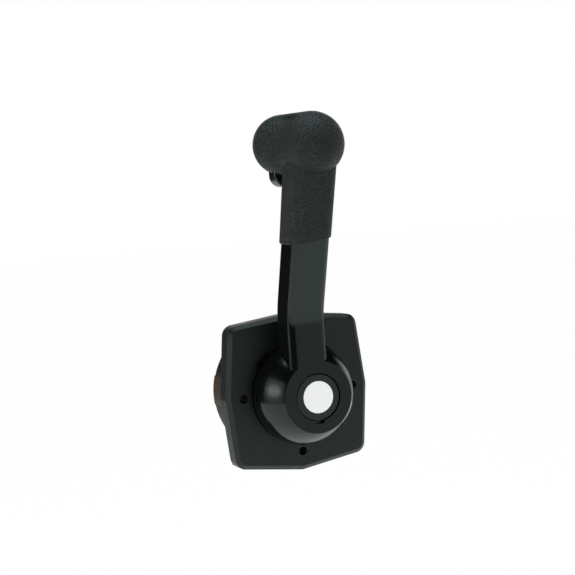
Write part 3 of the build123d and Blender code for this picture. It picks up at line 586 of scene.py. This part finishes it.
class CONTROL_OT_stage(bpy.types.Operator):
    """Set up the floor, the background, the lamps and the camera"""

    bl_idname = "control.stage"
    bl_label = "Stage"

    def execute(self, context):
        settings = stage_settings()
        self.add_floor(settings)
        self.set_world(context, settings)
        for name, spread, share in SIDE_BOX_LAMPS:
            size = tuple(spread * side for side in SIDE_BOX_SIZE)
            self.add_box(name, SIDE_BOX, size, share * settings.key_power, (1.0, 1.0, 1.0))
        self.add_box("Top box", TOP_BOX, TOP_BOX_SIZE, settings.top_power, TOP_BOX_COLOR)
        self.add_camera(settings)
        context.scene.view_settings.view_transform = "Standard"
        return {"FINISHED"}

    def add_floor(self, settings):
        deselect_everything()
        bpy.ops.mesh.primitive_plane_add(size=FLOOR_SIZE, location=(0.0, 0.0, -settings.floor_drop))
        floor = bpy.context.active_object
        floor.name = "floor"
        material = bpy.data.materials.new("Pale floor")
        material.use_nodes = True
        tree = material.node_tree
        shader = tree.nodes["Principled BSDF"]
        shader.inputs["Base Color"].default_value = (0.9, 0.9, 0.9, 1.0)
        shader.inputs["Roughness"].default_value = 1.0
        shader.inputs["Specular IOR Level"].default_value = 0.0
        glow = add_node(tree, "ShaderNodeEmission", Strength=1.0)
        path = tree.nodes.new("ShaderNodeLightPath")
        camera, glossy = path.outputs["Is Camera Ray"], path.outputs["Is Glossy Ray"]
        lift = add_node(tree, "ShaderNodeMath", prop_operation="MULTIPLY")
        lift.inputs[1].default_value = FLOOR_GLOW
        tree.links.new(combine(tree, "MAXIMUM", camera, glossy), lift.inputs[0])
        where = object_coordinates(tree)
        reach = add_node(tree, "ShaderNodeVectorMath", prop_operation="LENGTH")
        tree.links.new(where, reach.inputs[0])
        edge = settings.table_edge
        near = soft_step(tree, reach.outputs["Value"], edge * 0.9, edge * 1.1, 1.0, 0.0)
        split = tree.nodes.new("ShaderNodeSeparateXYZ")
        tree.links.new(where, split.inputs[0])
        aft = soft_step(tree, split.outputs["X"], -0.2, 0.8, 0.0, settings.room_level)
        level = combine(tree, "MAXIMUM", combine(tree, "MAXIMUM", near, aft), camera)
        tree.links.new(level, glow.inputs["Strength"])
        mix = tree.nodes.new("ShaderNodeMixShader")
        tree.links.new(lift.outputs[0], mix.inputs[0])
        tree.links.new(shader.outputs[0], mix.inputs[1])
        tree.links.new(glow.outputs[0], mix.inputs[2])
        tree.links.new(mix.outputs[0], tree.nodes["Material Output"].inputs["Surface"])
        floor.data.materials.append(material)

    def set_world(self, context, settings):
        world = bpy.data.worlds.new("Studio")
        context.scene.world = world
        world.use_nodes = True
        tree = world.node_tree
        background = tree.nodes["Background"]
        path = tree.nodes.new("ShaderNodeLightPath")
        where = tree.nodes.new("ShaderNodeTexCoord")
        away = add_node(tree, "ShaderNodeVectorMath", prop_operation="DOT_PRODUCT")
        tree.links.new(where.outputs["Generated"], away.inputs[0])
        away.inputs[1].default_value = (
            -math.sin(settings.azimuth), math.cos(settings.azimuth), 0.0)
        behind = soft_step(tree, away.outputs["Value"], 0.82, 0.98)
        glossy = path.outputs["Is Glossy Ray"]
        clear = combine(
            tree, "MAXIMUM", path.outputs["Is Camera Ray"], path.outputs["Is Transmission Ray"])
        white = combine(tree, "MAXIMUM", clear, combine(tree, "MULTIPLY", glossy, behind))
        split = tree.nodes.new("ShaderNodeSeparateXYZ")
        tree.links.new(where.outputs["Generated"], split.inputs[0])
        aft = soft_step(tree, split.outputs["X"], -0.2, 0.5, 0.0, settings.room_level)
        low = soft_step(tree, split.outputs["Z"], 0.12, 0.42, 1.0, 0.0)
        room = add_node(tree, "ShaderNodeMapRange")
        tree.links.new(glossy, room.inputs["Value"])
        room.inputs["To Min"].default_value = settings.ambient
        tree.links.new(combine(tree, "MULTIPLY", aft, low), room.inputs["To Max"])
        mix = add_node(tree, "ShaderNodeMapRange")
        tree.links.new(white, mix.inputs["Value"])
        tree.links.new(room.outputs[0], mix.inputs["To Min"])
        mix.inputs["To Max"].default_value = 1.0
        tree.links.new(mix.outputs[0], background.inputs["Strength"])
        background.inputs["Color"].default_value = (1.0, 1.0, 1.0, 1.0)

    def add_box(self, name, place, size, power, color):
        """A soft box that faces the hub, at an azimuth counted as the camera's is."""
        azimuth, elevation, distance = place
        a, e = math.radians(azimuth), math.radians(elevation)
        away = Vector((math.sin(a) * math.cos(e), -math.cos(a) * math.cos(e), math.sin(e)))
        deselect_everything()
        bpy.ops.object.light_add(type="AREA", location=away * distance)
        lamp = bpy.context.active_object
        lamp.name = name
        lamp.rotation_euler = (-away).to_track_quat("-Z", "Y").to_euler()
        lamp.data.shape = "RECTANGLE"
        lamp.data.size, lamp.data.size_y = size
        lamp.data.energy = power
        lamp.data.color = color

    def add_camera(self, settings):
        a, e, r = settings.azimuth, settings.elevation, settings.roll
        back = Vector((math.sin(a) * math.cos(e), -math.cos(a) * math.cos(e), math.sin(e)))
        right = (-back).cross(Vector((0.0, 0.0, 1.0))).normalized()
        up = right.cross(-back)
        rolled_right = math.cos(r) * right - math.sin(r) * up
        rolled_up = math.sin(r) * right + math.cos(r) * up
        aim = Vector((settings.aim_x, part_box("mounting_plate")[0][1], settings.aim_z))
        deselect_everything()
        bpy.ops.object.camera_add(location=aim + back * settings.distance)
        camera = bpy.context.active_object
        camera.name = "Camera"
        turn = Matrix((rolled_right, rolled_up, back)).transposed()
        camera.rotation_euler = turn.to_euler()
        camera.data.sensor_width = SENSOR_WIDTH
        camera.data.lens = settings.lens
        bpy.context.scene.camera = camera


class CONTROL_PT_panel(bpy.types.Panel):
    """Buttons and settings of the marine control"""

    bl_label = "Marine control"
    bl_idname = "CONTROL_PT_panel"
    bl_space_type = "VIEW_3D"
    bl_region_type = "UI"
    bl_category = "Control"

    def draw(self, context):
        for name in ORDER:
            self.layout.operator("control." + name)
        for settings in (context.scene.control_finish, context.scene.control_stage):
            box = self.layout.box()
            for prop in settings.bl_rna.properties:
                if prop.identifier not in {"rna_type", "name"}:
                    box.prop(settings, prop.identifier)


ORDER = ("plate", "lever", "grip", "button", "mechanism", "stage")
CLASSES = (
    FinishSettings, StageSettings, CONTROL_OT_plate, CONTROL_OT_lever, CONTROL_OT_grip, CONTROL_OT_button,
    CONTROL_OT_mechanism, CONTROL_OT_stage, CONTROL_PT_panel)


def register():
    for cls in CLASSES:
        bpy.utils.register_class(cls)
    bpy.types.Scene.control_finish = PointerProperty(type=FinishSettings)
    bpy.types.Scene.control_stage = PointerProperty(type=StageSettings)


def unregister():
    del bpy.types.Scene.control_stage
    del bpy.types.Scene.control_finish
    for cls in reversed(CLASSES):
        bpy.utils.unregister_class(cls)


def main():
    register()
    for name in ORDER:
        getattr(bpy.ops.control, name)()


if __name__ == "__main__":
    main()
